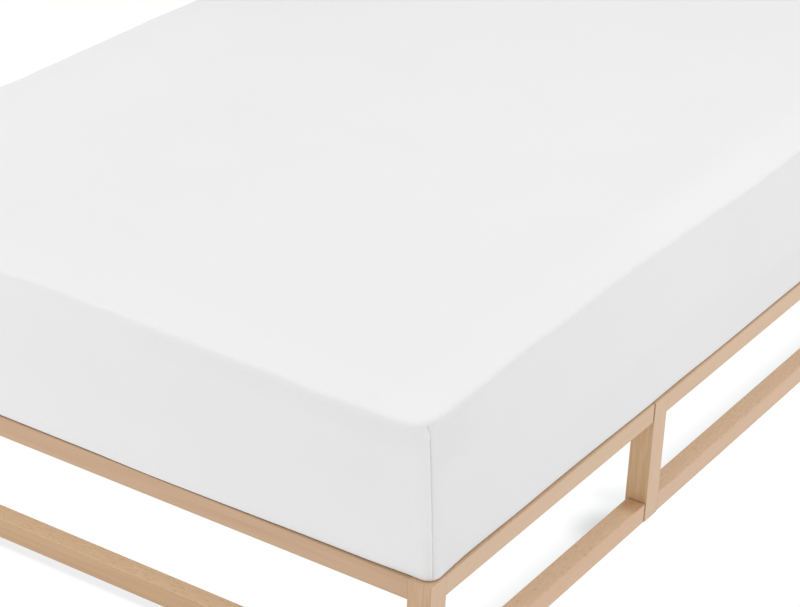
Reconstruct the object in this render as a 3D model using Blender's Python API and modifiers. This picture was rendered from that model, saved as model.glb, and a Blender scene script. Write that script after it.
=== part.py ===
"""A fitted sheet on a mattress, on a plain open timber bed frame.

The sheet is one panel of cloth: a top, four sides with sewn corners, and a hem
turned in under the mattress, which leaves the underside open. The frame is in
two sections. The rails of the foot section butt against the posts of the head
section, which stands a little proud of it.

Metres, +Z up. +X runs along the bed from the foot to the head, +Y across it.
The origin is on the floor, under the middle of the bed.
"""

import math

import bmesh
import bpy
from mathutils import Vector

# ---------------------------------------------------------------- sizes

MATTRESS = Vector((2.000, 1.199, 0.2410))  # length, width, height, at mid height
SIDE_DRAW = 0.0112  # the tight sheet draws each long side in by this much at its top, and it spreads as much at its foot
SIDE_STAY = 0.0056  # but near a corner its top stays out by this much
STAY_REACH = (0.120, 0.250)  # distance from the end of the bed where that begins to fade, and where it is gone
END_FOOT = -0.0021  # each end, at its foot
END_TOP = 0.0016  # at the middle of its top
END_CORNER = 0.0202  # and at the ends of its top, where the corners stand out
END_SOFTNESS = 0.130  # how gently the end turns from one half to the other
PLAN_RADIUS = 0.028  # the mattress's upright corners, seen from above
TOP_RADIUS = 0.005  # its top edge
BOTTOM_RADIUS = 0.003  # its bottom edge
CORNER_STEPS = 9
TOP_STEPS = 4
BOTTOM_STEPS = 2

# Where the mattress and the sheet are divided, so that their sides can follow
# the shape above: distances from each end, distances from the middle line, and
# shares of the height.
CUTS_FROM_END = (0.120, 0.163, 0.207, 0.250)
CUTS_FROM_MIDDLE = (0.0, 0.140, 0.280, 0.420)
CUTS_IN_HEIGHT = (0.25, 0.50, 0.75)

CLOTH = 0.0015  # thickness of the sheet
CLEAR = 0.0003  # gap between pieces that touch
TURN_UNDER = 0.100  # width of the cloth under the mattress at the sides
OPENING_RADIUS = 0.150  # the elastic cuts across the corners of the opening
SEAM_RADIUS = 0.0020  # the sewn corner stands up as a narrow ridge
SEAM_SINK = 0.0009  # depth of the ridge's centre line inside the cloth
SEAM_ANGLE = math.radians(65)  # its place round the corner: 0 faces the end, 90 the long side
SEAM_TOP_REACH = 0.6  # part of the top rounding that the ridge climbs

FRAME_LENGTH = 2.0048
FRAME_WIDTH = 1.2309  # over the foot section
PROUD = 0.0006  # the head section's long faces stand out by this much
RAIL = 0.0326  # square rails
FRAME_HEIGHT = 0.2110
CORNER_POST = Vector((0.0394, 0.0366))  # along X, along Y
JOINT_POST = Vector((0.0390, 0.0367))
JOINT_FROM_FOOT = 0.6306  # foot end to the near face of the joint posts
SECTION_GAP = 0.0014  # between the two sections
RAISED = 0.0007  # the head section's floor rails clear the floor
EASED_EDGE = 0.0015  # the long edges of a rail
EASED_ARRIS = 0.0011  # the outer upright edge of a corner post

SLAT = Vector((0.070, 0.0, 0.010))  # width along X, length worked out, thickness
SLAT_END_GAP = 0.0006
LEDGE = 0.016  # square strip that carries the slats

# Slats of each section: the middle of the first, the middle of the last, how many.
SLAT_ROWS = (
    # section, first, last, count
    ("foot", -0.905, -0.470, 4),
    ("head", -0.230, 0.885, 8),
)

COTTON = ((0.84, 0.84, 0.85, 1.0), 0.85)
TICKING = ((0.80, 0.79, 0.77, 1.0), 0.80)
TIMBER = ((0.62, 0.44, 0.28, 1.0), 0.55)

X_FOOT = -FRAME_LENGTH / 2
X_HEAD = FRAME_LENGTH / 2
X_JOINT = X_FOOT + JOINT_FROM_FOOT
Y_FOOT = FRAME_WIDTH / 2  # outer face of the foot section's long rails
Y_HEAD = FRAME_WIDTH / 2 + PROUD
Z_RAIL = FRAME_HEIGHT - RAIL  # underside of the top rails
Z_MATTRESS = FRAME_HEIGHT + CLEAR + CLOTH + CLEAR


# ---------------------------------------------------------------- scene

for old in list(bpy.data.objects):
    bpy.data.objects.remove(old, do_unlink=True)

parts = bpy.data.collections.new("fitted_sheet_on_bed")
cutters = bpy.data.collections.new("cutters")
bpy.context.scene.collection.children.link(parts)
bpy.context.scene.collection.children.link(cutters)


def material(name, look):
    colour, roughness = look
    made = bpy.data.materials.new(name)
    made.use_nodes = True
    shader = made.node_tree.nodes["Principled BSDF"]
    shader.inputs["Base Color"].default_value = colour
    shader.inputs["Roughness"].default_value = roughness
    shader.inputs["Metallic"].default_value = 0.0
    made.diffuse_color = colour
    return made


def place(name, mesh, look, collection=parts, location=(0, 0, 0)):
    """A new object that holds the mesh, with a material of its own."""
    obj = bpy.data.objects.new(name, mesh)
    obj.location = location
    collection.objects.link(obj)
    if collection is cutters:
        obj.hide_render = True
        obj.display_type = "WIRE"
    else:
        mesh.materials.append(material(name, look))
    return obj


# ---------------------------------------------------------------- timber


def timber(name, low, high, grain, width=EASED_EDGE, steps=2, arris=None):
    """A straight piece between two opposite corners. Its long edges are eased, or only the one at the outer corner arris."""
    low, high = Vector(low), Vector(high)
    middle = (low + high) / 2
    bm = bmesh.new()
    bmesh.ops.create_cube(bm, size=1.0)
    bmesh.ops.scale(bm, vec=high - low, verts=bm.verts)
    eases = bm.edges.layers.float.new("bevel_weight_edge")
    for edge in bm.edges:
        a, b = edge.verts
        runs = abs((a.co - b.co)[grain]) > 1e-6
        near = arris is None or all(
            abs((a.co + middle)[k] - arris[k]) < 1e-5 for k in (0, 1)
        )
        edge[eases] = 1.0 if runs and near else 0.0
    mesh = bpy.data.meshes.new(name)
    bm.to_mesh(mesh)
    bm.free()
    obj = place(name, mesh, TIMBER, location=middle)
    eased = obj.modifiers.new("eased", "BEVEL")
    eased.width = width
    eased.segments = steps
    eased.limit_method = "WEIGHT"
    return obj


ALONG, ACROSS, UP = 0, 1, 2  # the way a piece's grain runs


def post(name, x, y, size):
    """A corner post from the floor to the frame's top; x and y are its outer corner, and it stands inward of it."""
    inward_x = math.copysign(size.x, -x)
    inward_y = math.copysign(size.y, -y)
    xs, ys = sorted((x, x + inward_x)), sorted((y, y + inward_y))
    return timber(
        name,
        (xs[0], ys[0], 0.0),
        (xs[1], ys[1], FRAME_HEIGHT),
        UP,
        width=EASED_ARRIS,
        steps=3,
        arris=(x, y),
    )


def long_rails(section, x_low, x_high, y_face, z_floor):
    """The four rails along the bed on both sides of one section."""
    for side, sign in (("front", -1), ("back", 1)):
        ys = sorted((sign * y_face, sign * (y_face - RAIL)))
        timber(
            f"{section}_top_rail_{side}",
            (x_low, ys[0], Z_RAIL),
            (x_high, ys[1], FRAME_HEIGHT),
            ALONG,
        )
        timber(
            f"{section}_floor_rail_{side}",
            (x_low, ys[0], z_floor),
            (x_high, ys[1], RAIL),
            ALONG,
        )


def end_rails(section, x_face, y_face, z_floor):
    """The top rail and the floor rail across one end, between its corner posts."""
    xs = sorted((x_face, x_face - math.copysign(RAIL, x_face)))
    reach = y_face - CORNER_POST.y - CLEAR
    timber(
        f"{section}_top_rail_end",
        (xs[0], -reach, Z_RAIL),
        (xs[1], reach, FRAME_HEIGHT),
        ACROSS,
    )
    timber(
        f"{section}_floor_rail_end",
        (xs[0], -reach, z_floor),
        (xs[1], reach, RAIL),
        ACROSS,
    )


for side, sign in (("front", -1), ("back", 1)):
    post(f"foot_post_{side}", X_FOOT, sign * Y_FOOT, CORNER_POST)
    post(f"head_post_{side}", X_HEAD, sign * Y_HEAD, CORNER_POST)
    ys = sorted((sign * Y_HEAD, sign * (Y_HEAD - JOINT_POST.y)))
    timber(
        f"joint_post_{side}",
        (X_JOINT, ys[0], 0.0),
        (X_JOINT + JOINT_POST.x, ys[1], FRAME_HEIGHT),
        UP,
        width=EASED_EDGE / 2,
        arris=(X_JOINT, sign * Y_HEAD),
    )

long_rails("foot", X_FOOT + CORNER_POST.x + CLEAR, X_JOINT - SECTION_GAP, Y_FOOT, 0.0)
long_rails(
    "head",
    X_JOINT + JOINT_POST.x + CLEAR,
    X_HEAD - CORNER_POST.x - CLEAR,
    Y_HEAD,
    RAISED,
)
end_rails("foot", X_FOOT, Y_FOOT, 0.0)
end_rails("head", X_HEAD, Y_HEAD, RAISED)

cross_reach = Y_HEAD - JOINT_POST.y - CLEAR
timber(
    "joint_cross_rail",
    (X_JOINT, -cross_reach, Z_RAIL),
    (X_JOINT + RAIL, cross_reach, FRAME_HEIGHT),
    ACROSS,
)

# Slats lie flush with the rails, on a strip along the inside of each long rail.
strip_top = FRAME_HEIGHT - SLAT.z - CLEAR
strips = (
    # section, low x, high x, outer face of its long rails
    ("foot", X_FOOT + CORNER_POST.x + 0.002, X_JOINT - 0.002, Y_FOOT),
    ("head", X_JOINT + JOINT_POST.x + 0.002, X_HEAD - CORNER_POST.x - 0.002, Y_HEAD),
)
for section, x_low, x_high, y_face in strips:
    y_outer = y_face - RAIL - CLEAR
    for side, sign in (("front", -1), ("back", 1)):
        ys = sorted((sign * y_outer, sign * (y_outer - LEDGE)))
        timber(
            f"{section}_ledge_{side}",
            (x_low, ys[0], strip_top - LEDGE),
            (x_high, ys[1], strip_top),
            ALONG,
            steps=1,
        )

rail_face = {"foot": Y_FOOT, "head": Y_HEAD}
for section, first, last, count in SLAT_ROWS:
    reach = rail_face[section] - RAIL - SLAT_END_GAP
    for i in range(count):
        x = first + (last - first) * i / (count - 1)
        timber(
            f"{section}_slat_{i + 1:02d}",
            (x - SLAT.x / 2, -reach, FRAME_HEIGHT - SLAT.z),
            (x + SLAT.x / 2, reach, FRAME_HEIGHT),
            ACROSS,
            steps=1,
        )


# ---------------------------------------------------------------- soft pieces


def eased_step(t):
    t = min(max(t, 0.0), 1.0)
    return t * t * (3 - 2 * t)


def settled(x, y, z):
    """Where a point of the upright mattress lies once the tight sheet has drawn its sides in and left its corners standing out."""
    half = MATTRESS / 2
    up = (z - Z_MATTRESS) / MATTRESS.z  # 0 at its underside, 1 at its top

    begins, gone = STAY_REACH
    stays = eased_step((gone - (half.x - abs(x))) / (gone - begins))
    side = SIDE_DRAW * (1 - 2 * up) + SIDE_STAY * stays * up

    turn = math.hypot(half.y, END_SOFTNESS) - END_SOFTNESS
    corner = (math.hypot(y, END_SOFTNESS) - END_SOFTNESS) / turn
    end = END_FOOT * (1 - up) + (END_TOP + (END_CORNER - END_TOP) * corner) * up
    return (x * (1 + end / half.x), y * (1 + side / half.y), z)


def divide(bm):
    """Cut the faces where the sides change, and then into triangles."""
    half = MATTRESS / 2
    planes = [((sign * (half.x - d), 0, 0), (1, 0, 0)) for d in CUTS_FROM_END for sign in (-1, 1)]
    planes += [((0, sign * d, 0), (0, 1, 0)) for d in CUTS_FROM_MIDDLE for sign in (-1, 1) if d or sign > 0]
    planes += [((0, 0, Z_MATTRESS + share * MATTRESS.z), (0, 0, 1)) for share in CUTS_IN_HEIGHT]
    for at, normal in planes:
        bmesh.ops.bisect_plane(
            bm,
            geom=bm.verts[:] + bm.edges[:] + bm.faces[:],
            plane_co=at,
            plane_no=normal,
            dist=1e-6,
        )
    bmesh.ops.triangulate(bm, faces=bm.faces[:], quad_method="FIXED")


def slab_mesh(name, low, high, plan, top, bottom, lean=True):
    """A block with round upright corners and round top and bottom edges."""
    low, high = Vector(low), Vector(high)
    bm = bmesh.new()
    bmesh.ops.create_cube(bm, size=1.0)
    bmesh.ops.scale(bm, vec=high - low, verts=bm.verts)
    bmesh.ops.translate(bm, vec=(low + high) / 2, verts=bm.verts)

    def level(edge, z):
        return all(abs(v.co.z - z) < 1e-6 for v in edge.verts)

    def ease(edges, radius, steps):
        bmesh.ops.bevel(
            bm,
            geom=edges,
            offset=radius,
            offset_type="OFFSET",
            segments=steps,
            profile=0.5,
            affect="EDGES",
            clamp_overlap=False,
        )

    upright = [e for e in bm.edges if abs(e.verts[0].co.z - e.verts[1].co.z) > 1e-4]
    ease(upright, plan, CORNER_STEPS)
    for z, radius, steps in ((high.z, top, TOP_STEPS), (low.z, bottom, BOTTOM_STEPS)):
        if radius:
            ease([e for e in bm.edges if level(e, z)], radius, steps)
    if lean:
        divide(bm)
        for vertex in bm.verts:
            vertex.co = settled(*vertex.co)
    bmesh.ops.recalc_face_normals(bm, faces=bm.faces)
    mesh = bpy.data.meshes.new(name)
    bm.to_mesh(mesh)
    bm.free()
    return mesh


def grown_slab(name, grow, look, collection=parts):
    """The mattress's own shape, larger by the same amount all round."""
    half = MATTRESS / 2
    mesh = slab_mesh(
        name,
        (-half.x - grow, -half.y - grow, Z_MATTRESS - grow),
        (half.x + grow, half.y + grow, Z_MATTRESS + MATTRESS.z + grow),
        PLAN_RADIUS + grow,
        TOP_RADIUS + grow,
        BOTTOM_RADIUS + grow,
    )
    mesh.shade_smooth()
    mesh.set_sharp_from_angle(angle=math.radians(35))
    return place(name, mesh, look, collection)


def boolean(obj, cutter, operation):
    step = obj.modifiers.new(operation.lower(), "BOOLEAN")
    step.operation = operation
    step.solver = "EXACT"
    step.object = cutter


def seam_ridge(name, sign_x, sign_y):
    """The sewn corner, as a slim rod sunk in the cloth: up the corner and over part of the top rounding."""
    grow = CLEAR + CLOTH - SEAM_SINK
    half = MATTRESS / 2
    plan, top = PLAN_RADIUS + grow, TOP_RADIUS + grow
    low = Z_MATTRESS + BOTTOM_RADIUS
    high = Z_MATTRESS + MATTRESS.z - TOP_RADIUS
    centre = Vector((half.x - PLAN_RADIUS, half.y - PLAN_RADIUS))
    out = Vector((math.cos(SEAM_ANGLE), math.sin(SEAM_ANGLE)))

    points = [(plan, low + (high - low) * i / 4) for i in range(5)]
    turn = SEAM_TOP_REACH * math.pi / 2
    for i in range(1, 7):
        a = turn * i / 6
        points.append((plan - top * (1 - math.cos(a)), high + top * math.sin(a)))

    curve = bpy.data.curves.new(name, "CURVE")
    curve.dimensions = "3D"
    curve.bevel_depth = SEAM_RADIUS
    curve.bevel_resolution = 1
    curve.use_fill_caps = True
    spline = curve.splines.new("POLY")
    spline.points.add(len(points) - 1)
    for point, (r, z) in zip(spline.points, points):
        x, y, z = settled(centre.x + r * out.x, centre.y + r * out.y, z)
        point.co = (sign_x * x, sign_y * y, z, 1.0)
    drawn = bpy.data.objects.new(name + "_line", curve)
    cutters.objects.link(drawn)
    bpy.context.view_layer.update()
    graph = bpy.context.evaluated_depsgraph_get()
    mesh = bpy.data.meshes.new_from_object(drawn.evaluated_get(graph))
    bm = bmesh.new()
    bm.from_mesh(mesh)
    bmesh.ops.remove_doubles(bm, verts=bm.verts, dist=1e-5)
    bmesh.ops.recalc_face_normals(bm, faces=bm.faces)
    bm.to_mesh(mesh)
    bm.free()
    ridge = place(name, mesh, COTTON, cutters)
    ridge.matrix_world = drawn.matrix_world
    bpy.data.objects.remove(drawn)
    return ridge


mattress = grown_slab("mattress", 0.0, TICKING)

sheet = grown_slab("fitted_sheet", CLEAR + CLOTH, COTTON)
for i, (sign_x, sign_y) in enumerate(((-1, -1), (1, -1), (1, 1), (-1, 1))):
    boolean(sheet, seam_ridge(f"seam_{i + 1}", sign_x, sign_y), "UNION")
boolean(sheet, grown_slab("sheet_hollow", CLEAR, COTTON, cutters), "DIFFERENCE")
reach = MATTRESS / 2 - Vector((TURN_UNDER, TURN_UNDER, 0))
opening = place(
    "sheet_opening",
    slab_mesh(
        "sheet_opening",
        (-reach.x, -reach.y, Z_MATTRESS - 0.02),
        (reach.x, reach.y, Z_MATTRESS + 0.02),
        OPENING_RADIUS,
        0.0,
        0.0,
        lean=False,
    ),
    COTTON,
    cutters,
)
boolean(sheet, opening, "DIFFERENCE")
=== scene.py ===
"""Looks for the fitted sheet on its mattress and open timber bed frame.

The sheet and the mattress are modelled here as fine meshes on the same shape
that their solids have. The timbers keep their own solids and get a beech
finish, each piece with its grain along its length. White floor, light tent.

Metres, +Z up. +X runs from the foot of the bed to its head.
"""

import math

import bpy
import numpy as np
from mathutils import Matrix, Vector


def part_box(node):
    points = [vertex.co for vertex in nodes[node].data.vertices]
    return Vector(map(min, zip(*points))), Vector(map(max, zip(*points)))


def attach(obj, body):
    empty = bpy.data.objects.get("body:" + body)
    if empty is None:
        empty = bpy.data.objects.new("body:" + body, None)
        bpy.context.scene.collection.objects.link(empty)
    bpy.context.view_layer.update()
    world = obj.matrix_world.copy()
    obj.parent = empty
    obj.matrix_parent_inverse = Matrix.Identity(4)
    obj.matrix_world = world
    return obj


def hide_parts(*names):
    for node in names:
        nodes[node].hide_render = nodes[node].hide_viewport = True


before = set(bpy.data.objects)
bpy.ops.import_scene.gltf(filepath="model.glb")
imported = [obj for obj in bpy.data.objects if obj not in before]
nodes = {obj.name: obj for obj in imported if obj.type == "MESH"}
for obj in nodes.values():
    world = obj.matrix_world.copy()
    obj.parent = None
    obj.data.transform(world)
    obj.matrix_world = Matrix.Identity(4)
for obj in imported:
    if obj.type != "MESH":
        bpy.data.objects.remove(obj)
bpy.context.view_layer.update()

# ---------------------------------------------------------------- sizes

HALF = np.array([1.000, 0.5995])  # of the mattress, seen from above, at mid height
DEPTH = 0.2410
FRAME_HEIGHT = 0.2110
CLOTH = 0.0015
CLEAR = 0.0003
Z_LOW = FRAME_HEIGHT + CLEAR + CLOTH + CLEAR
Z_HIGH = Z_LOW + DEPTH

# How the tight sheet draws the mattress in and leaves its corners standing out.
SIDE_DRAW = 0.0112  # each long side, in at its top and out at its foot
SIDE_STAY = 0.0056  # near a corner its top stays out by this much
STAY_REACH = (0.120, 0.250)
END_FOOT = -0.0021
END_TOP = 0.0016
END_CORNER = 0.0202
END_SOFTNESS = 0.130

# Radius of the upright corners. The sewn line stretches the cloth nearly sharp
# below, and it opens out under the top edge.
CORNER_RADIUS = (
    # height, radius
    (0.213, 0.0190),
    (0.240, 0.0175),
    (0.400, 0.0175),
    (0.425, 0.0205),
    (0.441, 0.0260),
    (0.456, 0.0330),
)
FOOT_RADIUS, CROWN_RADIUS = CORNER_RADIUS[0][1], CORNER_RADIUS[-1][1]
TOP_RADIUS = 0.0065  # of the top edge, at the ends. The long sides are pulled sharper.
BOTTOM_RADIUS = 0.003
TURN_UNDER = 0.100
OPENING_RADIUS = 0.150

# Where the sewn line runs round the upright corner: 0 faces the end of the bed,
# 90 faces its long side.
SEAM_LINE = (
    # height, degrees
    (0.213, 51.0),
    (0.231, 54.0),
    (0.278, 61.0),
    (0.317, 66.0),
    (0.355, 68.5),
    (0.386, 71.0),
    (0.415, 72.0),
    (0.430, 70.0),
    (0.439, 66.0),
    (0.448, 60.0),
    (0.456, 57.0),
)

# How far the long sides stand out beyond their smooth line at their foot and at
# their top edge, in millimetres. Small, slow and uneven.
SIDE_WAVE = (
    # distance from the foot end, outward at the foot, outward at the top
    (0.00, 0.6, 2.6),
    (0.03, 0.3, 2.9),
    (0.06, -1.0, 3.0),
    (0.10, -1.6, 1.2),
    (0.14, -1.4, 2.4),
    (0.19, -1.0, 1.2),
    (0.24, -1.0, 1.0),
    (0.30, -1.6, 0.3),
    (0.38, -1.5, 0.2),
    (0.46, -0.4, -1.1),
    (0.58, 0.8, -4.5),
    (0.71, 0.4, -0.8),
    (0.84, 1.9, 2.2),
    (0.98, 1.2, 3.8),
    (1.08, 0.9, 2.0),
    (1.30, 0.5, 1.0),
    (1.55, -0.4, -0.9),
    (1.80, 0.3, 0.6),
    (2.00, 0.0, 0.0),
)

# The same for each end, at its foot and at its top edge.
END_WAVE = (
    # place across the bed, outward at the foot, outward at the top
    (-0.62, -2.4, -5.6),
    (-0.575, -3.2, -5.8),
    (-0.52, -1.6, -3.7),
    (-0.47, -1.5, -0.4),
    (-0.41, -1.0, -0.2),
    (-0.34, 0.3, -2.0),
    (-0.27, 1.4, -1.1),
    (-0.20, 1.9, 0.6),
    (-0.13, 2.3, 0.4),
    (-0.06, 2.1, -0.2),
    (0.02, 2.1, -2.2),
    (0.09, 1.7, -3.3),
    (0.25, 1.2, -2.0),
    (0.40, 0.2, -1.0),
    (0.55, -1.8, -1.8),
    (0.62, -2.4, -2.4),
)

# How deep the cloth's full painted shade is, as a share of its brightness, and the amount that makes it one hundredth
# darker.
PAINTED_SHADE_DEPTH = 0.20
HUNDREDTH = 0.01 / PAINTED_SHADE_DEPTH

# Columns of the mesh beside the sewn line, as shares of the arc on that side.
SEAM_SHARES = (0.0, 0.22, 0.41, 0.587, 0.717, 0.804, 0.87, 0.913, 0.943, 0.963, 0.978, 0.989, 1.0)
# Columns of the mesh on the flat side beside a corner, as distances from it.
FLAT_STEPS = (0.0, 0.0016, 0.0034, 0.0054, 0.0078, 0.0108, 0.0145, 0.019, 0.0245, 0.0315, 0.0405)


# ---------------------------------------------------------------- soft noise


def smooth(t):
    t = np.clip(t, 0.0, 1.0)
    return t * t * (3 - 2 * t)


def through(rows, column, at):
    """A smooth line through one column of a table of rows, read at other places."""
    rows = np.array(rows)
    place, value = rows[:, 0], rows[:, column]
    slope = np.gradient(value, place)
    k = np.clip(np.searchsorted(place, at) - 1, 0, len(place) - 2)
    gap = place[k + 1] - place[k]
    t = np.clip((at - place[k]) / gap, 0, 1)
    low = value[k] * (1 - smooth(t)) + gap * slope[k] * (t**3 - 2 * t**2 + t)
    high = value[k + 1] * smooth(t) + gap * slope[k + 1] * (t**3 - t**2)
    return low + high


def lattice(seed):
    return np.random.default_rng(seed).uniform(-1, 1, 4096)


def noise(seed, x, y):
    """Smooth noise from -1 to 1 over a plane, one cell per unit."""
    table = lattice(seed)

    def corner(i, j):
        return table[(i * 73 + j * 179 + i * j * 7) % 4096]

    i, j = np.floor(x).astype(int), np.floor(y).astype(int)
    fx, fy = smooth(x - i), smooth(y - j)
    low = corner(i, j) * (1 - fx) + corner(i + 1, j) * fx
    high = corner(i, j + 1) * (1 - fx) + corner(i + 1, j + 1) * fx
    return low * (1 - fy) + high * fy


# ---------------------------------------------------------------- the cloth's shape


def plan_radius(z):
    """Of the upright corners, at a height."""
    return float(np.interp(z, [row[0] for row in CORNER_RADIUS], [row[1] for row in CORNER_RADIUS]))


def seam_angle(z, corner):
    """The sewn line's place round one corner at a height, in radians."""
    heights = [row[0] for row in SEAM_LINE]
    degrees = [row[1] for row in SEAM_LINE]
    wander = (0.0, 1.6, -2.2, 1.1)[corner] * np.sin(17 * z + corner)
    return math.radians(float(np.interp(z, heights, degrees)) + float(wander))


class Grid:
    """Columns round the bed and lines over its top, finer beside the four sewn corners."""

    def __init__(self, along, across):
        self.corner_cells = len(SEAM_SHARES) - 1
        self.nx = along + 2 * self.corner_cells
        self.ny = across + 2 * self.corner_cells
        self.fx, self.ux = self.line(self.nx, HALF[0])
        self.fy, self.uy = self.line(self.ny, HALF[1])
        rim = [(i, 0) for i in range(self.nx)]
        rim += [(self.nx, j) for j in range(self.ny)]
        rim += [(i, self.ny) for i in range(self.nx, 0, -1)]
        rim += [(0, j) for j in range(self.ny, 0, -1)]
        self.rim = rim
        self.rim_index = {ij: k for k, ij in enumerate(rim)}

    def line(self, n, half):
        """For each line: its place between the corner centres, -1 to 1, and how far out it is in a corner block, -1 to 1."""
        c = self.corner_cells
        shares = np.array(SEAM_SHARES)
        beside = np.array(FLAT_STEPS) / half
        middle = np.linspace(-1 + beside[-1], 1 - beside[-1], n - 2 * c - 2 * len(beside) + 3)
        flat = np.concatenate([-1 + beside[:-1], middle, 1 - beside[-2::-1]])
        place = np.concatenate([-np.ones(c), flat, np.ones(c)])
        out = np.concatenate([-shares[:0:-1], np.zeros(n - 2 * c + 1), shares[1:]])
        return place, out

    def points(self, i, j, half, radius, z):
        """Plan positions of grid points on a rounded rectangle, and how far out each one is, 0 to 1, with its outward direction."""
        i, j = np.asarray(i), np.asarray(j)
        ux, uy = self.ux[i], self.uy[j]
        cx, cy = self.fx[i] * (half[0] - radius), self.fy[j] * (half[1] - radius)
        reach = np.maximum(abs(ux), abs(uy))
        angle = np.where(uy != 0, np.pi / 2, 0.0)
        for k, (sx, sy) in enumerate(((-1, -1), (1, -1), (1, 1), (-1, 1))):
            seam = seam_angle(z, k)
            inside = (np.sign(ux) == sx) & (np.sign(uy) == sy)
            a, b = abs(ux), abs(uy)
            with np.errstate(divide="ignore", invalid="ignore"):
                low = seam * np.where(a > 0, b / a, 0)
                high = np.pi / 2 - (np.pi / 2 - seam) * np.where(b > 0, a / b, 0)
            angle = np.where(inside, np.where(a >= b, low, high), angle)
        direction = np.stack(
            [np.sign(ux) * np.cos(angle), np.sign(uy) * np.sin(angle)], -1
        )
        direction[np.abs(direction) < 1e-12] = 0.0
        return np.stack([cx, cy], -1) + direction * (reach * radius)[..., None], direction

    def seam_distance(self, i, j, half, radius, z):
        """Distance of rim points along the rim from the nearest corner's sewn line, in metres, plus towards the long side, and the corner's number or -1."""
        ux, uy, fx, fy = self.ux[i], self.uy[j], self.fx[i], self.fy[j]
        distance, number = np.full(len(i), 9.0), np.full(len(i), -1)
        for k, (sx, sy) in enumerate(((-1, -1), (1, -1), (1, 1), (-1, 1))):
            seam = seam_angle(z, k)
            near = (np.sign(ux) == sx) & (np.sign(uy) == sy)
            a, b = abs(ux), abs(uy)
            arc = np.where(a >= b, -(1 - b) * seam, (1 - a) * (np.pi / 2 - seam)) * radius
            distance = np.where(near, arc, distance)
            along = (ux == 0) & (np.sign(uy) == sy) & (np.sign(fx) == sx)
            flat = (np.pi / 2 - seam) * radius + (1 - abs(fx)) * (half[0] - radius)
            distance = np.where(along, flat, distance)
            across = (uy == 0) & (np.sign(ux) == sx) & (np.sign(fy) == sy)
            flat = -seam * radius - (1 - abs(fy)) * (half[1] - radius)
            distance = np.where(across, flat, distance)
            number = np.where(near | along | across, k, number)
        return distance, number


def settled(p):
    """Where a point of the upright mattress lies under the tight sheet, as its solid does."""
    x, y = p[..., 0], p[..., 1]
    up = (p[..., 2] - Z_LOW) / DEPTH
    begins, gone = STAY_REACH
    stays = smooth((gone - (HALF[0] - abs(x))) / (gone - begins))
    side = SIDE_DRAW * (1 - 2 * up) + SIDE_STAY * stays * up
    turn = math.hypot(HALF[1], END_SOFTNESS) - END_SOFTNESS
    corner = (np.hypot(y, END_SOFTNESS) - END_SOFTNESS) / turn
    end = END_FOOT * (1 - up) + (END_TOP + (END_CORNER - END_TOP) * corner) * up
    q = p.copy()
    q[..., 0] *= 1 + end / HALF[0]
    q[..., 1] *= 1 + side / HALF[1]
    return q


def draped(p):
    """The unevenness that mattress and sheet share, small and slow."""
    x, y, z = p[..., 0], p[..., 1], p[..., 2]
    up = np.clip((z - Z_LOW) / DEPTH, 0, 1)
    q = p.copy()
    edge = np.minimum(HALF[0] - abs(x), HALF[1] - abs(y))

    # The top falls away a little towards its edges.
    q[..., 2] -= 0.0016 * smooth((0.09 - edge) / 0.09) * smooth((up - 0.86) / 0.12)

    # Slow unevenness of the sides and the top.
    on_top = smooth((up - 0.96) / 0.04)
    round_x = smooth((abs(x) - (HALF[0] - 0.05)) / 0.05)
    round_y = smooth((abs(y) - (HALF[1] - 0.05)) / 0.05)
    q[..., 0] += np.sign(x) * round_x * 0.0009 * noise(3, y / 0.15 + 40, z / 0.20 + 9 * np.sign(x))
    q[..., 1] += np.sign(y) * round_y * 0.0009 * noise(4, x / 0.17 + 40, z / 0.20 + 9 * np.sign(y))
    q[..., 2] += on_top * 0.0007 * noise(5, x / 0.20 + 40, y / 0.17 + 40) * smooth(edge / 0.06)

    # The long sides' top edge wanders a little, and both edges waver finely.
    near_top = smooth((up - 0.15) / 0.85)
    distance = x + HALF[0]
    wave = through(SIDE_WAVE, 1, distance) * (1 - near_top) + through(SIDE_WAVE, 2, distance) * near_top
    q[..., 1] += np.sign(y) * wave / 1000 * round_y
    across = -y * np.sign(x)
    wave = through(END_WAVE, 1, across) * (1 - up) + through(END_WAVE, 2, across) * up
    q[..., 0] += np.sign(x) * round_x * wave / 1000
    rim = smooth((up - 0.90) / 0.08)
    q[..., 0] += np.sign(x) * round_x * rim * 0.0011 * noise(6, y / 0.036 + 40, z * 0 + 11 * np.sign(x))
    q[..., 1] += np.sign(y) * round_y * rim * 0.0011 * noise(7, x / 0.036 + 40, z * 0 + 11 * np.sign(y))
    q[..., 2] += rim * 0.0007 * smooth((0.05 - edge) / 0.05) * noise(8, x / 0.040 + 40, y / 0.040 + 40)

    # Just under the top edge the cloth is drawn in over the mattress's rim.
    below = (Z_HIGH - z) / 0.011
    under_rim = 0.0009 * np.exp(-((below - 1.7) ** 2))
    q[..., 0] -= np.sign(x) * round_x * under_rim
    q[..., 1] -= np.sign(y) * round_y * under_rim
    return q


def sharper(flat, direction):
    """By what share the top edge is sharper than at the middle of an end."""
    across = -flat[:, 1] * np.sign(flat[:, 0])
    return 0.45 * direction[:, 1] ** 2 + 0.35 * direction[:, 0] ** 2 * smooth((across + 0.16) / 0.06)


def swell(z, middle, reach):
    """1 at a height, falling to nothing above and below it."""
    return math.exp(-(((z - middle) / reach) ** 2))


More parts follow.
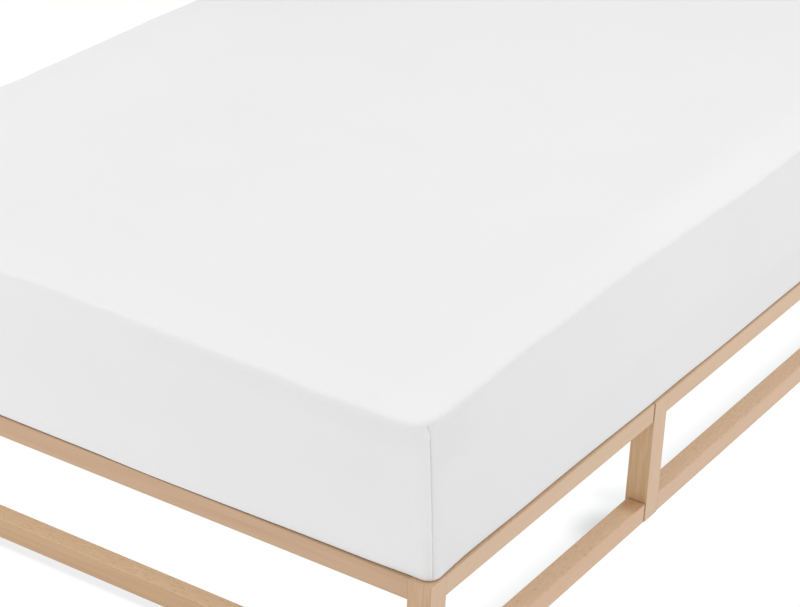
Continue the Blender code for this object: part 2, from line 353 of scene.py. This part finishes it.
def seam_relief(t, z, corner):
    """How far the cloth stands out beside the sewn line, in metres. It climbs to a lip on the end's side, drops into a crease, and rises again slowly on the other side."""
    mm = t * 1000
    pinched = swell(z, 0.441, 0.008)
    low = smooth((0.279 - z) / 0.008)
    lip = (1.00 + 0.50 * pinched) * np.exp(-(((mm + 1.5) / np.where(mm < -1.5, 6.5 - 4.3 * low, 1.2)) ** 2))
    crease = -(1.25 + 0.60 * pinched) * np.exp(-(((mm - 0.3) / 0.75) ** 2))
    hollow = -(0.85 + 0.45 * swell(z, 0.394, 0.016)) * np.exp(-np.clip(mm - 1.0, 0, None) / 6.5) * smooth((mm + 0.1) / 1.3)
    beyond = -0.45 * low * np.exp(-(((mm + 5.5) / 2.4) ** 2))
    pucker = 0.10 * np.sin(z * 2 * np.pi / 0.021 + 2 * corner) * np.exp(-((mm / 4.5) ** 2))
    tuck = -0.55 * swell(z, 0.2783, 0.0045) * np.exp(-((mm / 3.5) ** 2))
    return (lip + crease + hollow + beyond + pucker + tuck) / 1000


def painted_seam_light_and_shade(t, z):
    """Painted light and shade beside the sewn line: 1 along it, painted shade standing in for the doubled cloth's own
    shade, a little painted shade beside it on the long side, and less than nothing, a painted highlight, on its lip and
    the pulled cloth of the end's side.
    """
    mm = t * 1000
    low = smooth((0.279 - z) / 0.008)
    line = (0.72 + 0.50 * swell(z, 0.436, 0.018) - 0.22 * low) * np.exp(-(((mm - 0.5) / 0.95) ** 2))
    spot = (0.30 * swell(z, 0.385, 0.045) + 0.30 * swell(z, 0.394, 0.013)) * np.exp(-(((mm - 2.4) / 1.7) ** 2))
    beside = 0.15 * smooth((mm - 0.4) / 1.2) * np.exp(-np.clip(mm - 2.0, 0, None) / 14)
    pulled = -0.12 * (1 - 0.8 * low) * np.exp(-(((mm + 9) / 10) ** 2)) * smooth(-mm / 1.5)
    lip = -0.34 * np.exp(-(((mm + 1.3) / 0.9) ** 2))
    inner = 0.16 * low * np.exp(-(((mm + 4.2) / 1.6) ** 2))
    return line + spot + beside + pulled + lip + inner


def painted_rim_shade(t, z):
    """Painted soft shade of the corner just under its top edge."""
    return 0.17 * swell(z, 0.4500, 0.0065) * np.exp(-(((t * 1000 - 10) / 13) ** 2))


def painted_side_light_and_shade(p, direction):
    """Painted light and shade of the upright cloth, in hundredths darker. It is painted lighter at the foot of the ends
    and on a wide patch of the long sides, and painted darker under the ends' top edge, low on the long sides and beside
    the sewn corners.
    """
    x, y, z = p.T
    across, distance = -y * np.sign(x), x + HALF[0]
    pale = -(1.3 + smooth((-0.40 - across) / 0.12) - smooth((-0.545 - across) / 0.03)) * (1 - smooth((z - 0.24) / 0.12))
    pale = pale - 0.8 * np.exp(-(((across + 0.16) / 0.08) ** 2) - ((z - 0.29) / 0.05) ** 2)
    dull = 2.1 * (1 - smooth((across + 0.20) / 0.15)) * smooth((z - 0.397) / 0.034) * (1 - smooth((z - 0.438) / 0.011))
    patch = -2.1 * np.exp(-(((distance - 0.64) / 0.27) ** 2)) * smooth((z - 0.285) / 0.04)
    low = 2.6 * smooth((distance - 0.70) / 0.45) * (1 - smooth((distance - 1.25) / 0.30)) * (1 - smooth((z - 0.265) / 0.03))
    beside = 2.4 * (1 - smooth((distance - 0.085) / 0.05)) * smooth((z - 0.365) / 0.03) * (1 - smooth((z - 0.438) / 0.010))
    beside = beside + 1.6 * (1 - smooth((distance - 0.06) / 0.05)) * (1 - smooth((z - 0.235) / 0.06))
    beside = beside * smooth((distance - 0.022) / 0.02)
    return direction[:, 0] ** 2 * (pale + dull) + direction[:, 1] ** 2 * (patch + low + beside)


def painted_top_light_and_shade(p):
    """Painted light and shade for the top, in hundredths darker: a painted highlight beside its long edges, most in the
    middle of the front one, some painted shade along part of the back one, and a trace of painted highlight at its
    ends.
    """
    x, y = p[:, 0], p[:, 1]
    edge, end = HALF[1] - abs(y), HALF[0] - abs(x)
    front = -(1.2 + 2.2 * np.exp(-(((x + 0.11) / 0.26) ** 2))) * (1 - smooth((edge - 0.04) / 0.07))
    back = -1.6 * (1 - 1.8 * smooth((x + 0.1) / 0.25)) * (1 - smooth((x - 0.3) / 0.3)) * (1 - smooth((edge - 0.10) / 0.30))
    return np.where(y < 0, front, back) - 0.7 * (1 - smooth((end - 0.05) / 0.05))


def shell(grid, grow, detail, under):
    """Rows of points from the opening under the bed, round the bottom edge, up the sides and round the top edge, and then the top.
    Returns the points, the number of rows, and the top's own points as an index table."""
    i = np.array([a for a, b in grid.rim])
    j = np.array([b for a, b in grid.rim])
    rows = []

    def ring(inset, radius, z, seam_z=None, out=0.0, rounding=0.0):
        flat, direction = grid.points(i, j, HALF - inset, radius, seam_z or z)
        flat = flat + direction * out
        height = np.full(len(i), z)
        if rounding:
            # Where the edge is sharper, its rounding begins higher and lies further out.
            spared = TOP_RADIUS * sharper(flat, direction)
            flat = flat + direction * (spared * (1 - math.cos(rounding)))[:, None]
            height = height + spared * (1 - math.sin(rounding))
        rows.append((np.column_stack([flat, height]), direction, radius, seam_z or z))

    if under:
        steps = 5
        for k in range(steps):
            t = 1 - k / steps
            ring(
                BOTTOM_RADIUS + t * (TURN_UNDER - BOTTOM_RADIUS),
                FOOT_RADIUS - BOTTOM_RADIUS + t * (OPENING_RADIUS - FOOT_RADIUS + BOTTOM_RADIUS),
                Z_LOW - grow,
                seam_z=Z_LOW,
            )
    for k in range(5):
        a = math.pi / 2 * k / 5
        ring(
            BOTTOM_RADIUS * (1 - math.sin(a)),
            FOOT_RADIUS - BOTTOM_RADIUS * (1 - math.sin(a)),
            Z_LOW + BOTTOM_RADIUS - (BOTTOM_RADIUS + grow) * math.cos(a),
            seam_z=Z_LOW,
            out=grow * math.sin(a),
        )
    low, high = Z_LOW + BOTTOM_RADIUS, Z_HIGH - TOP_RADIUS
    steps = 44 if detail else 9
    for k in range(steps):
        # Rows lie closer together towards the top edge.
        share = 1 - (1 - k / steps) ** 1.25 if detail else k / steps
        z = low + (high - low) * share
        ring(0.0, plan_radius(z), z, out=grow)
    steps = 6 if detail else 4
    for k in range(steps + 1):
        a = math.pi / 2 * k / steps
        ring(
            TOP_RADIUS * (1 - math.cos(a)),
            plan_radius(high + TOP_RADIUS * math.sin(a)) - TOP_RADIUS * (1 - math.cos(a)),
            high + (TOP_RADIUS + grow) * math.sin(a),
            out=grow * math.cos(a),
            rounding=max(a, 1e-6),
        )
    count = len(rows)
    points, painted_light_rows = [], []
    for r, (p, direction, radius, z) in enumerate(rows):
        q = draped(settled(p))
        painted_light = np.zeros(len(i))
        if detail:
            t, corner = grid.seam_distance(i, j, HALF, plan_radius(z), z)
            fade = smooth((z + 0.004 - Z_LOW) / 0.010) * smooth((0.4500 - p[0, 2]) / 0.006)
            relief = np.where(corner >= 0, seam_relief(t, z, corner), 0.0) * fade
            q[:, :2] += direction * relief[:, None]
            # Painted shade and highlight along the sewn corners and under their top edge, and painted light and shade
            # over the sides and top.
            painted_light = np.where(corner >= 0, painted_seam_light_and_shade(t, z) * fade + painted_rim_shade(t, z), 0.0)
            turned = smooth((p[:, 2] - Z_HIGH + 0.004) / 0.004)
            painted_light = painted_light + HUNDREDTH * (painted_side_light_and_shade(p, direction) * (1 - turned) + painted_top_light_and_shade(p) * turned)
        points.append(q)
        painted_light_rows.append(painted_light)

    # The top, whose rim is the last row.
    table = np.full((grid.nx + 1, grid.ny + 1), -1)
    for k, (a, b) in enumerate(grid.rim):
        table[a, b] = (count - 1) * len(i) + k
    inner_i, inner_j = np.meshgrid(np.arange(1, grid.nx), np.arange(1, grid.ny), indexing="ij")
    flat, _ = grid.points(
        inner_i.ravel(), inner_j.ravel(), HALF - TOP_RADIUS, CROWN_RADIUS - TOP_RADIUS, Z_HIGH
    )
    top = draped(settled(np.column_stack([flat, np.full(len(flat), Z_HIGH + grow)])))
    table[inner_i.ravel(), inner_j.ravel()] = count * len(i) + np.arange(len(flat))
    # Painted light and shade of the top.
    painted_light_rows.append(HUNDREDTH * painted_top_light_and_shade(flat))
    return np.vstack(points + [top]), count, table, np.concatenate(painted_light_rows)


def faces_of(grid, count, table):
    n = len(grid.rim)
    k = np.arange(n)
    after = (k + 1) % n
    out = []
    for r in range(count - 1):
        out.append(np.column_stack([r * n + k, r * n + after, (r + 1) * n + after, (r + 1) * n + k]))
    out.append(
        np.column_stack(
            [
                table[:-1, :-1].ravel(),
                table[1:, :-1].ravel(),
                table[1:, 1:].ravel(),
                table[:-1, 1:].ravel(),
            ]
        )
    )
    return np.vstack(out)


def mesh_object(name, points, faces):
    mesh = bpy.data.meshes.new(name)
    mesh.from_pydata(points.tolist(), [], faces.tolist())
    mesh.validate()
    mesh.shade_smooth()
    obj = bpy.data.objects.new(name, mesh)
    bpy.context.scene.collection.objects.link(obj)
    return obj


def make_sheet():
    grid = Grid(148, 90)
    outer, count, table, painted_light_rows = shell(grid, CLEAR + CLOTH, True, True)
    inner, inner_count, inner_table, _ = shell(grid, CLEAR, False, True)
    faces = faces_of(grid, count, table)
    inner_faces = faces_of(grid, inner_count, inner_table)
    n, total = len(grid.rim), len(outer)
    k = np.arange(n)
    after = (k + 1) % n
    rim = np.column_stack([after, k, total + k, total + after])
    obj = mesh_object(
        "fitted_sheet_cloth",
        np.vstack([outer, inner]),
        np.vstack([faces, inner_faces[:, ::-1] + total, rim]),
    )
    # The seam attribute carries the painted shade and light of the outer cloth; the inner cloth has none.
    seam = obj.data.attributes.new("seam", "FLOAT", "POINT")
    seam.data.foreach_set("value", np.concatenate([painted_light_rows, np.zeros(len(inner))]).astype(np.float32))
    return obj


def make_mattress():
    grid = Grid(96, 64)
    points, count, table, _ = shell(grid, 0.0, False, False)
    faces = faces_of(grid, count, table)
    # The underside has the top's own layout.
    low_table = np.full_like(table, -1)
    for k, (a, b) in enumerate(grid.rim):
        low_table[a, b] = k
    a, b = np.meshgrid(np.arange(1, grid.nx), np.arange(1, grid.ny), indexing="ij")
    flat, _ = grid.points(a.ravel(), b.ravel(), HALF - BOTTOM_RADIUS, FOOT_RADIUS - BOTTOM_RADIUS, Z_LOW)
    under = draped(settled(np.column_stack([flat, np.full(len(flat), Z_LOW)])))
    low_table[a.ravel(), b.ravel()] = len(points) + np.arange(len(flat))
    bottom = np.column_stack(
        [
            low_table[:-1, 1:].ravel(),
            low_table[1:, 1:].ravel(),
            low_table[1:, :-1].ravel(),
            low_table[:-1, :-1].ravel(),
        ]
    )
    return mesh_object("mattress_core", np.vstack([points, under]), np.vstack([faces, bottom]))


# ---------------------------------------------------------------- materials


class Nodes:
    """A short way to write a material's node tree."""

    def __init__(self, name):
        self.material = bpy.data.materials.new(name)
        self.material.use_nodes = True
        self.tree = self.material.node_tree
        self.shader = self.tree.nodes["Principled BSDF"]
        self.coordinates = self.add("ShaderNodeTexCoord")

    def add(self, kind, **values):
        node = self.tree.nodes.new(kind)
        for key, value in values.items():
            setattr(node, key, value)
        return node

    def join(self, source, target):
        self.tree.links.new(source, target)

    def feed(self, socket, value):
        if isinstance(value, bpy.types.NodeSocket):
            self.join(value, socket)
        else:
            socket.default_value = value

    def math(self, operation, a, b=0.0, c=0.0, clamp=False):
        node = self.add("ShaderNodeMath", operation=operation, use_clamp=clamp)
        for socket, value in zip(node.inputs, (a, b, c)):
            self.feed(socket, value)
        return node.outputs[0]

    def vector(self, operation, a, b=(0, 0, 0)):
        node = self.add("ShaderNodeVectorMath", operation=operation)
        self.feed(node.inputs[0], a)
        self.feed(node.inputs[1], b)
        return node.outputs[0]

    def mapping(self, scale=(1, 1, 1), location=(0, 0, 0), rotation=(0, 0, 0), source=None):
        node = self.add("ShaderNodeMapping")
        self.join(source or self.coordinates.outputs["Object"], node.inputs["Vector"])
        node.inputs["Scale"].default_value = scale
        node.inputs["Location"].default_value = location
        node.inputs["Rotation"].default_value = rotation
        return node.outputs[0]

    def noise(self, vector, scale=1.0, detail=2.0, rough=0.5, distortion=0.0):
        node = self.add("ShaderNodeTexNoise")
        self.join(vector, node.inputs["Vector"])
        node.inputs["Scale"].default_value = scale
        node.inputs["Detail"].default_value = detail
        node.inputs["Roughness"].default_value = rough
        node.inputs["Distortion"].default_value = distortion
        return node.outputs["Fac"]

    def ramp(self, value, low, high, to_low=0.0, to_high=1.0, kind="SMOOTHSTEP"):
        node = self.add("ShaderNodeMapRange", interpolation_type=kind)
        self.join(value, node.inputs["Value"])
        node.inputs["From Min"].default_value = low
        node.inputs["From Max"].default_value = high
        node.inputs["To Min"].default_value = to_low
        node.inputs["To Max"].default_value = to_high
        return node.outputs["Result"]

    def mix(self, factor, a, b, kind="MIX"):
        node = self.add("ShaderNodeMix", data_type="RGBA", blend_type=kind)
        self.feed(node.inputs["Factor"], factor)
        self.feed(node.inputs["A"], a)
        self.feed(node.inputs["B"], b)
        return node.outputs["Result"]

    def bump(self, height, distance, strength=1.0, normal=None):
        node = self.add("ShaderNodeBump")
        self.join(height, node.inputs["Height"])
        node.inputs["Distance"].default_value = distance
        node.inputs["Strength"].default_value = strength
        if normal is not None:
            self.join(normal, node.inputs["Normal"])
        return node.outputs["Normal"]


def cotton(name, colour, pitch, roughness, sheen, seam=0.0):
    """A closely woven plain cloth: threads along and across the bed, and up the sides. The seam attribute paints shade
    and light into its colour, most of all painted shade along the sewn line.
    """
    m = Nodes(name)
    place = m.coordinates.outputs["Object"]
    facing = m.add("ShaderNodeSeparateXYZ")
    m.join(m.coordinates.outputs["Normal"], facing.inputs[0])

    turn = 2 * math.pi / pitch
    threads = m.add("ShaderNodeSeparateXYZ")
    drift = m.add("ShaderNodeTexNoise")
    m.join(m.mapping(scale=(9, 9, 9)), drift.inputs["Vector"])
    drift.inputs["Scale"].default_value = 1.0
    uneven = m.vector("SCALE", drift.outputs["Color"])
    uneven.node.inputs["Scale"].default_value = 0.0012
    m.join(m.vector("ADD", place, uneven), threads.inputs[0])
    weave = None
    for axis in range(3):
        wave = m.math("SINE", m.math("MULTIPLY", threads.outputs[axis], turn))
        facing_in = m.math("SUBTRACT", 1.0, m.math("POWER", m.math("ABSOLUTE", facing.outputs[axis]), 2.0))
        part = m.math("MULTIPLY", wave, facing_in)
        weave = part if weave is None else m.math("ADD", weave, part)

    slub = m.noise(m.mapping(scale=(260, 260, 260)), detail=2.0)
    cloudy = m.noise(m.mapping(scale=(4.5, 4.5, 4.5)), detail=3.0)
    tone = m.math("ADD", m.ramp(cloudy, 0.3, 0.7, -0.004, 0.004), m.ramp(slub, 0.3, 0.7, -0.004, 0.004))
    tone = m.math("ADD", tone, m.math("MULTIPLY", weave, 0.006))
    shade = m.add("ShaderNodeHueSaturation")
    shade.inputs["Color"].default_value = colour
    value = m.math("ADD", tone, 1.0)
    # Painted shade and light, read from the mesh's seam attribute.
    if seam:
        sewn = m.add("ShaderNodeAttribute", attribute_name="seam")
        value = m.math("SUBTRACT", value, m.math("MULTIPLY", sewn.outputs["Fac"], seam))
    m.join(value, shade.inputs["Value"])
    m.join(shade.outputs["Color"], m.shader.inputs["Base Color"])

    fine = m.bump(weave, 0.00004, 0.5)
    lumpy = m.bump(slub, 0.00012, 0.35, fine)
    m.join(lumpy, m.shader.inputs["Normal"])
    m.join(m.ramp(slub, 0.3, 0.7, roughness - 0.03, roughness + 0.03), m.shader.inputs["Roughness"])
    m.shader.inputs["Sheen Weight"].default_value = sheen
    m.shader.inputs["Sheen Roughness"].default_value = 0.6
    m.shader.inputs["Specular IOR Level"].default_value = 0.2
    return m.material


def beech(name, grain, seed, light, dark, fleck, roughness, painted_facing_light, fine=1.0, streaks=0.33, contrast=1.0, sawn=None, on_floor=False):
    """Light beech. The grain runs along one axis, with growth rings about a line beside the piece, rays as short flecks
    on the upper faces, and pores.
    Each way of facing gets its own colour change, painted light and shade that makes a face lighter or darker as the
    light falls on it. Streaks is the length of the grain's streaks. Sawn is where along the bed a piece ends in darker
    end grain. A piece on the floor gets painted shade along its arrises, and a painted shadow on top just before that
    end."""
    m = Nodes(name)
    # The piece's own length becomes X.
    turn = {"x": (0, 0, 0), "y": (0, 0, -math.pi / 2), "z": (0, math.pi / 2, 0)}[grain]
    rng = np.random.default_rng(seed)
    shift = rng.uniform(-3, 3, 3)
    along = m.mapping(rotation=turn)
    spread = m.mapping(location=tuple(float(v) for v in shift), source=along)

    # Growth rings: distance from the tree's middle, wavering along the piece.
    wander = m.noise(m.mapping(scale=(1.6, 9, 9), source=spread), detail=2.0)
    split = m.add("ShaderNodeSeparateXYZ")
    m.join(along, split.inputs[0])
    off_y, off_z = rng.uniform(-0.9, 0.9), rng.uniform(-0.10, -0.03)
    tilt = rng.uniform(-0.03, 0.03)
    y = m.math("ADD", split.outputs["Y"], float(off_y))
    z = m.math("ADD", split.outputs["Z"], float(off_z))
    z = m.math("ADD", z, m.math("MULTIPLY", split.outputs["X"], float(tilt)))
    radius = m.math("SQRT", m.math("ADD", m.math("MULTIPLY", y, y), m.math("MULTIPLY", z, z)))
    radius = m.math("ADD", radius, m.math("MULTIPLY", wander, 0.030))
    ring = m.math("SINE", m.math("MULTIPLY", radius, 2 * math.pi / 0.0085))
    rings = m.ramp(ring, -0.2, 1.0)

    streak = m.noise(m.mapping(scale=(1 / streaks, 230 * fine, 230 * fine), source=spread), detail=3.0, rough=0.6)
    broad = m.noise(m.mapping(scale=(1.2, 22, 22), source=spread), detail=2.0)
    blotch = m.noise(m.mapping(scale=(7, 34, 34), source=spread), detail=2.0)
    flecks = m.noise(m.mapping(scale=(95, 420, 420), source=spread), detail=1.0)
    rays = m.noise(m.mapping(scale=(60, 300, 300), location=(5, 2, 9), source=spread), detail=1.0)
    pores = m.noise(m.mapping(scale=(260, 2600, 2600), source=spread), detail=1.0)

    facing = m.add("ShaderNodeSeparateXYZ")
    m.join(m.coordinates.outputs["Normal"], facing.inputs[0])
    ways = [m.ramp(m.math("ABSOLUTE", facing.outputs[k]), 0.70, 0.95) for k in range(3)]
    upper, front = ways[2], ways[1]

    mixed = m.math("ADD", m.ramp(streak, 0.32, 0.70, 0.0, 0.42 * contrast * fine), m.ramp(broad, 0.3, 0.7, 0.0, 0.22 * contrast))
    mixed = m.math("ADD", mixed, m.math("MULTIPLY", rings, 0.14 * contrast))
    plainer = m.math("ADD", m.math("MULTIPLY", front, 0.72), m.math("MULTIPLY", upper, 0.55))
    mixed = m.math("MULTIPLY", mixed, m.math("SUBTRACT", 1.0, plainer))
    base = m.mix(m.math("MULTIPLY", mixed, 1.0, clamp=True), light, dark)
    # Soft rosy patches, most on the faces across the bed.
    rosy = m.math("MULTIPLY", m.ramp(blotch, 0.45, 0.75), m.math("ADD", m.math("MULTIPLY", front, 0.5), 0.5))
    base = m.mix(m.math("MULTIPLY", rosy, 0.5), base, (light[0] * 1.01, light[1] * 0.95, light[2] * 0.94, 1.0))
    # Painted light and shade: each way of facing is made lighter or darker.
    for way, painted_facing_tint in zip(ways, painted_facing_light):
        base = m.mix(way, base, (*painted_facing_tint, 1.0), "MULTIPLY")
    spots = m.math("MULTIPLY", m.ramp(flecks, 0.56, 0.72), m.math("ADD", m.math("MULTIPLY", upper, 0.55), 0.12))
    base = m.mix(m.math("MULTIPLY", spots, 0.45 * contrast), base, fleck)
    bright = m.math("MULTIPLY", m.ramp(rays, 0.55, 0.70), m.math("ADD", m.math("MULTIPLY", upper, 0.80), 0.06))
    base = m.mix(m.math("MULTIPLY", bright, 0.45), base, (1.18, 1.20, 1.22, 1.0), "MULTIPLY")
    base = m.mix(m.math("MULTIPLY", m.ramp(pores, 0.58, 0.75), 0.08), base, fleck)
    if sawn is not None:
        place = m.add("ShaderNodeSeparateXYZ")
        m.join(m.coordinates.outputs["Object"], place.inputs[0])
        end_grain = m.math("MULTIPLY", m.ramp(place.outputs["X"], sawn - 0.0036, sawn - 0.0020), m.math("SUBTRACT", 1.0, upper))
        base = m.mix(end_grain, base, (0.46, 0.34, 0.21, 1.0), "MULTIPLY")
        # A painted shadow of the joint post on the floor rail's top, just before it.
        if on_floor:
            painted_post_shadow = m.math("MULTIPLY", m.ramp(place.outputs["X"], sawn - 0.048, sawn - 0.018), upper)
            base = m.mix(painted_post_shadow, base, (0.79, 0.69, 0.60, 1.0), "MULTIPLY")
    # Painted shade along the bevelled edges of the floor rails, against the light they catch.
    if on_floor:
        painted_arris_shade = m.math("SUBTRACT", 1.0, m.math("ADD", m.math("ADD", ways[0], ways[1]), ways[2]), clamp=True)
        base = m.mix(painted_arris_shade, base, (0.84, 0.83, 0.83, 1.0), "MULTIPLY")
    m.join(base, m.shader.inputs["Base Color"])

    m.join(m.ramp(streak, 0.3, 0.7, roughness - 0.04, roughness + 0.05), m.shader.inputs["Roughness"])
    relief = m.bump(pores, 0.00006, 0.5)
    relief = m.bump(streak, 0.00004, 0.5, relief)
    m.join(relief, m.shader.inputs["Normal"])
    m.shader.inputs["IOR"].default_value = 1.5
    return m.material


BEECH_LIGHT = (0.590, 0.405, 0.250, 1.0)
BEECH_DARK = (0.490, 0.312, 0.172, 1.0)
BEECH_FLECK = (0.400, 0.240, 0.125, 1.0)
SLAT_LIGHT = (0.640, 0.480, 0.310, 1.0)
SLAT_DARK = (0.540, 0.375, 0.220, 1.0)
SLAT_FLECK = (0.450, 0.290, 0.160, 1.0)

# Painted light and shade by facing: how much lighter or darker the faces that look along the bed, across it and upward
# are made, as the light falls on them.
TIMBER_PAINTED_LIGHT = (
    # part of the name, along, across, upward
    ("foot_floor_rail_end", (0.957, 0.901, 0.843), (1.020, 1.010, 1.060), (1.275, 1.355, 1.450)),
    ("foot_floor_rail", (0.985, 0.970, 1.000), (1.067, 1.034, 1.065), (1.294, 1.405, 1.590)),
    ("floor_rail", (0.985, 0.970, 1.000), (1.050, 1.049, 1.098), (1.277, 1.400, 1.610)),
    ("joint_post", (1.078, 1.078, 1.035), (1.080, 1.097, 1.171), (1.050, 1.050, 1.080)),
    ("post", (1.036, 1.030, 1.050), (1.080, 1.097, 1.171), (1.050, 1.050, 1.080)),
    # The top of an end rail, a ledge beside the sheet's hem, is painted darker for the shade there.
    ("top_rail_end", (0.970, 0.955, 0.985), (1.064, 1.092, 1.163), (0.860, 0.850, 0.840)),
    ("", (0.970, 0.955, 0.985), (1.064, 1.092, 1.163), (1.000, 0.990, 0.990)),
)


def grain_of(name):
    if "post" in name:
        return "z"
    if "cross" in name or "_end" in name or "slat" in name:
        return "y"
    return "x"


def finish_timbers():
    for seed, name in enumerate(sorted(nodes)):
        if name in ("fitted_sheet", "mattress"):
            continue
        if "slat" in name or "ledge" in name:
            made = beech(
                f"{name}_wood", grain_of(name), 200 + seed, SLAT_LIGHT, SLAT_DARK, SLAT_FLECK, 0.62,
                ((1, 1, 1), (1, 1, 1), (1, 1, 1)), contrast=1.2,
            )
        else:
            made = beech(
                f"{name}_wood", grain_of(name), 100 + seed, BEECH_LIGHT, BEECH_DARK, BEECH_FLECK, 0.44,
                next(row[1:] for row in TIMBER_PAINTED_LIGHT if row[0] in name),
                fine=1.7 if "post" in name else 0.8, streaks=0.05 if "post" in name else 0.33,
                sawn=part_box(name)[1][0] if "foot" in name and "rail" in name and "_end" not in name else None,
                on_floor="floor" in name,
            )
        data = nodes[name].data
        data.materials.clear()
        data.materials.append(made)


# ---------------------------------------------------------------- floor, light, camera


# The floor's painted soft shadow lies behind each floor rail as if cast by a light
# from the front and the head of the bed: inside the front rail and beyond the back
# one, and on the foot side of both end rails.
FRONT_RAIL_INSIDE, BACK_RAIL_OUTSIDE = -0.58285, 0.61545
FOOT_RAIL_OUTSIDE, HEAD_RAIL_INSIDE = -1.0024, 0.9698
SHADE_SPOTS = (
    # place along the bed, distance behind the rail's face, reach along, reach across, depth of tone
    (-0.425, 0.023, 0.080, 0.060, 0.20),
    (-0.338, 0.052, 0.050, 0.042, 0.075),
)


def make_floor():
    size = 40.0
    mesh = bpy.data.meshes.new("floor")
    mesh.from_pydata(
        [(-size, -size, -0.0002), (size, -size, -0.0002), (size, size, -0.0002), (-size, size, -0.0002)],
        [],
        [(0, 1, 2, 3)],
    )
    floor = bpy.data.objects.new("floor", mesh)
    bpy.context.scene.collection.objects.link(floor)
    m = Nodes("studio_floor")
    m.tree.nodes.remove(m.shader)
    glow = m.add("ShaderNodeEmission")
    place = m.add("ShaderNodeSeparateXYZ")
    m.join(m.coordinates.outputs["Object"], place.inputs[0])
    x, y = place.outputs["X"], place.outputs["Y"]

    def behind(value, nearer, farther, sign):
        """Distance behind the one of two faces that is on this side of the bed's middle."""
        past = m.math("GREATER_THAN", value, 0.0)
        face = m.math("ADD", nearer, m.math("MULTIPLY", past, farther - nearer))
        return m.math("MULTIPLY", m.math("SUBTRACT", value, face), sign)

    def product(first, *rest):
        for other in rest:
            first = m.math("MULTIPLY", first, other)
        return first

    across = behind(y, FRONT_RAIL_INSIDE, BACK_RAIL_OUTSIDE, 1.0)
    along = behind(x, FOOT_RAIL_OUTSIDE, HEAD_RAIL_INSIDE, -1.0)
    in_length = m.ramp(m.math("ABSOLUTE", x), 0.985, 1.004, 1.0, 0.0)
    in_width = m.ramp(m.math("ABSOLUTE", y), 0.600, 0.620, 1.0, 0.0)
    # Painted shadow bands behind the long rails and the end rails.
    sides = product(m.ramp(across, -0.030, -0.004), m.ramp(across, 0.0, 0.065, 0.165, 0.0), in_length)
    ends = product(m.ramp(along, -0.030, -0.004), m.ramp(along, 0.011, 0.0235, 0.160, 0.0), in_width)
    # Painted shadow spots beside the joint posts.
    spots = None
    for middle, back, reach_x, reach_y, depth in SHADE_SPOTS:
        off_x = m.math("DIVIDE", m.math("SUBTRACT", x, middle), reach_x)
        off_y = m.math("DIVIDE", m.math("SUBTRACT", across, back), reach_y)
        off = m.math("SQRT", m.math("ADD", m.math("MULTIPLY", off_x, off_x), m.math("MULTIPLY", off_y, off_y)))
        spot = m.ramp(off, 0.0, 1.0, depth, 0.0)
        spots = spot if spots is None else m.math("ADD", spots, spot)
    tone = m.add("ShaderNodeCombineColor")
    # The long sides' shade is a trace cooler than the ends'.
    for socket, weight in zip(tone.inputs, (1.07, 1.0, 1.01)):
        shade = m.math("MAXIMUM", m.math("MULTIPLY", sides, weight), ends)
        shade = m.math("ADD", shade, m.math("MULTIPLY", spots, weight))
        m.join(m.math("SUBTRACT", 1.0, shade), socket)
    m.join(tone.outputs[0], glow.inputs["Color"])
    glow.inputs["Strength"].default_value = 1.02
    m.join(glow.outputs[0], m.tree.nodes["Material Output"].inputs["Surface"])
    mesh.materials.append(m.material)
    return floor


def softbox(name, place, target, size, power):
    light = bpy.data.lights.new(name, "AREA")
    light.shape = "RECTANGLE"
    light.size, light.size_y = size
    light.energy = power
    obj = bpy.data.objects.new(name, light)
    obj.location = place
    obj.rotation_euler = (Vector(target) - Vector(place)).to_track_quat("-Z", "Y").to_euler()
    obj.visible_camera = False
    bpy.context.scene.collection.objects.link(obj)
    return obj


def make_studio():
    world = bpy.data.worlds.new("white_tent")
    world.use_nodes = True
    world.node_tree.nodes["Background"].inputs["Color"].default_value = (1.0, 1.0, 1.0, 1.0)
    world.node_tree.nodes["Background"].inputs["Strength"].default_value = 0.862
    bpy.context.scene.world = world
    softbox("above", (0.2, -0.1, 3.2), (0.1, 0.0, 0.5), (3.2, 2.6), 17.5)
    softbox("above_front", (-0.2, -0.5, 1.6), (-0.2, -0.3, 0.45), (1.6, 1.0), 0.6)
    softbox("front_high", (0.8, -1.5, 1.7), (0.4, -0.4, 0.45), (1.6, 1.2), 1.7)
    softbox("front_low", (0.6, -2.2, 0.6), (0.5, -0.7, 0.4), (1.2, 0.9), 2.0)
    softbox("foot_high", (-2.0, 0.9, 1.6), (-0.8, 0.3, 0.45), (1.2, 0.9), 3.9)
    softbox("foot_low", (-1.9, 0.7, 0.45), (-1.0, 0.4, 0.35), (0.9, 0.6), 0.75)
    softbox("near_corner", (-1.3, -0.8, 1.1), (-0.8, -0.5, 0.45), (1.0, 0.6), 0.35)
    bpy.context.scene.view_settings.view_transform = "Standard"


def make_camera():
    camera = bpy.data.cameras.new("photo_view")
    camera.sensor_fit = "HORIZONTAL"
    camera.sensor_width = 36.0
    camera.lens = 111.283
    camera.clip_end = 200.0
    obj = bpy.data.objects.new("photo_view", camera)
    obj.location = (-3.3591, -2.0266, 2.0229)
    obj.rotation_euler = (1.1012, -0.0412, -0.9890)
    bpy.context.scene.collection.objects.link(obj)
    bpy.context.scene.camera = obj


# ---------------------------------------------------------------- the scene

make_camera()
make_studio()
make_floor()
finish_timbers()

sheet = make_sheet()
sheet.data.materials.append(cotton("sheet_cotton_weave", (0.785, 0.785, 0.787, 1.0), 0.00048, 0.88, 0.08, PAINTED_SHADE_DEPTH))
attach(sheet, "root")
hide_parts("fitted_sheet")

mattress = make_mattress()
mattress.data.materials.append(cotton("mattress_ticking_weave", (0.700, 0.690, 0.665, 1.0), 0.0011, 0.85, 0.05))
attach(mattress, "root")
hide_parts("mattress")
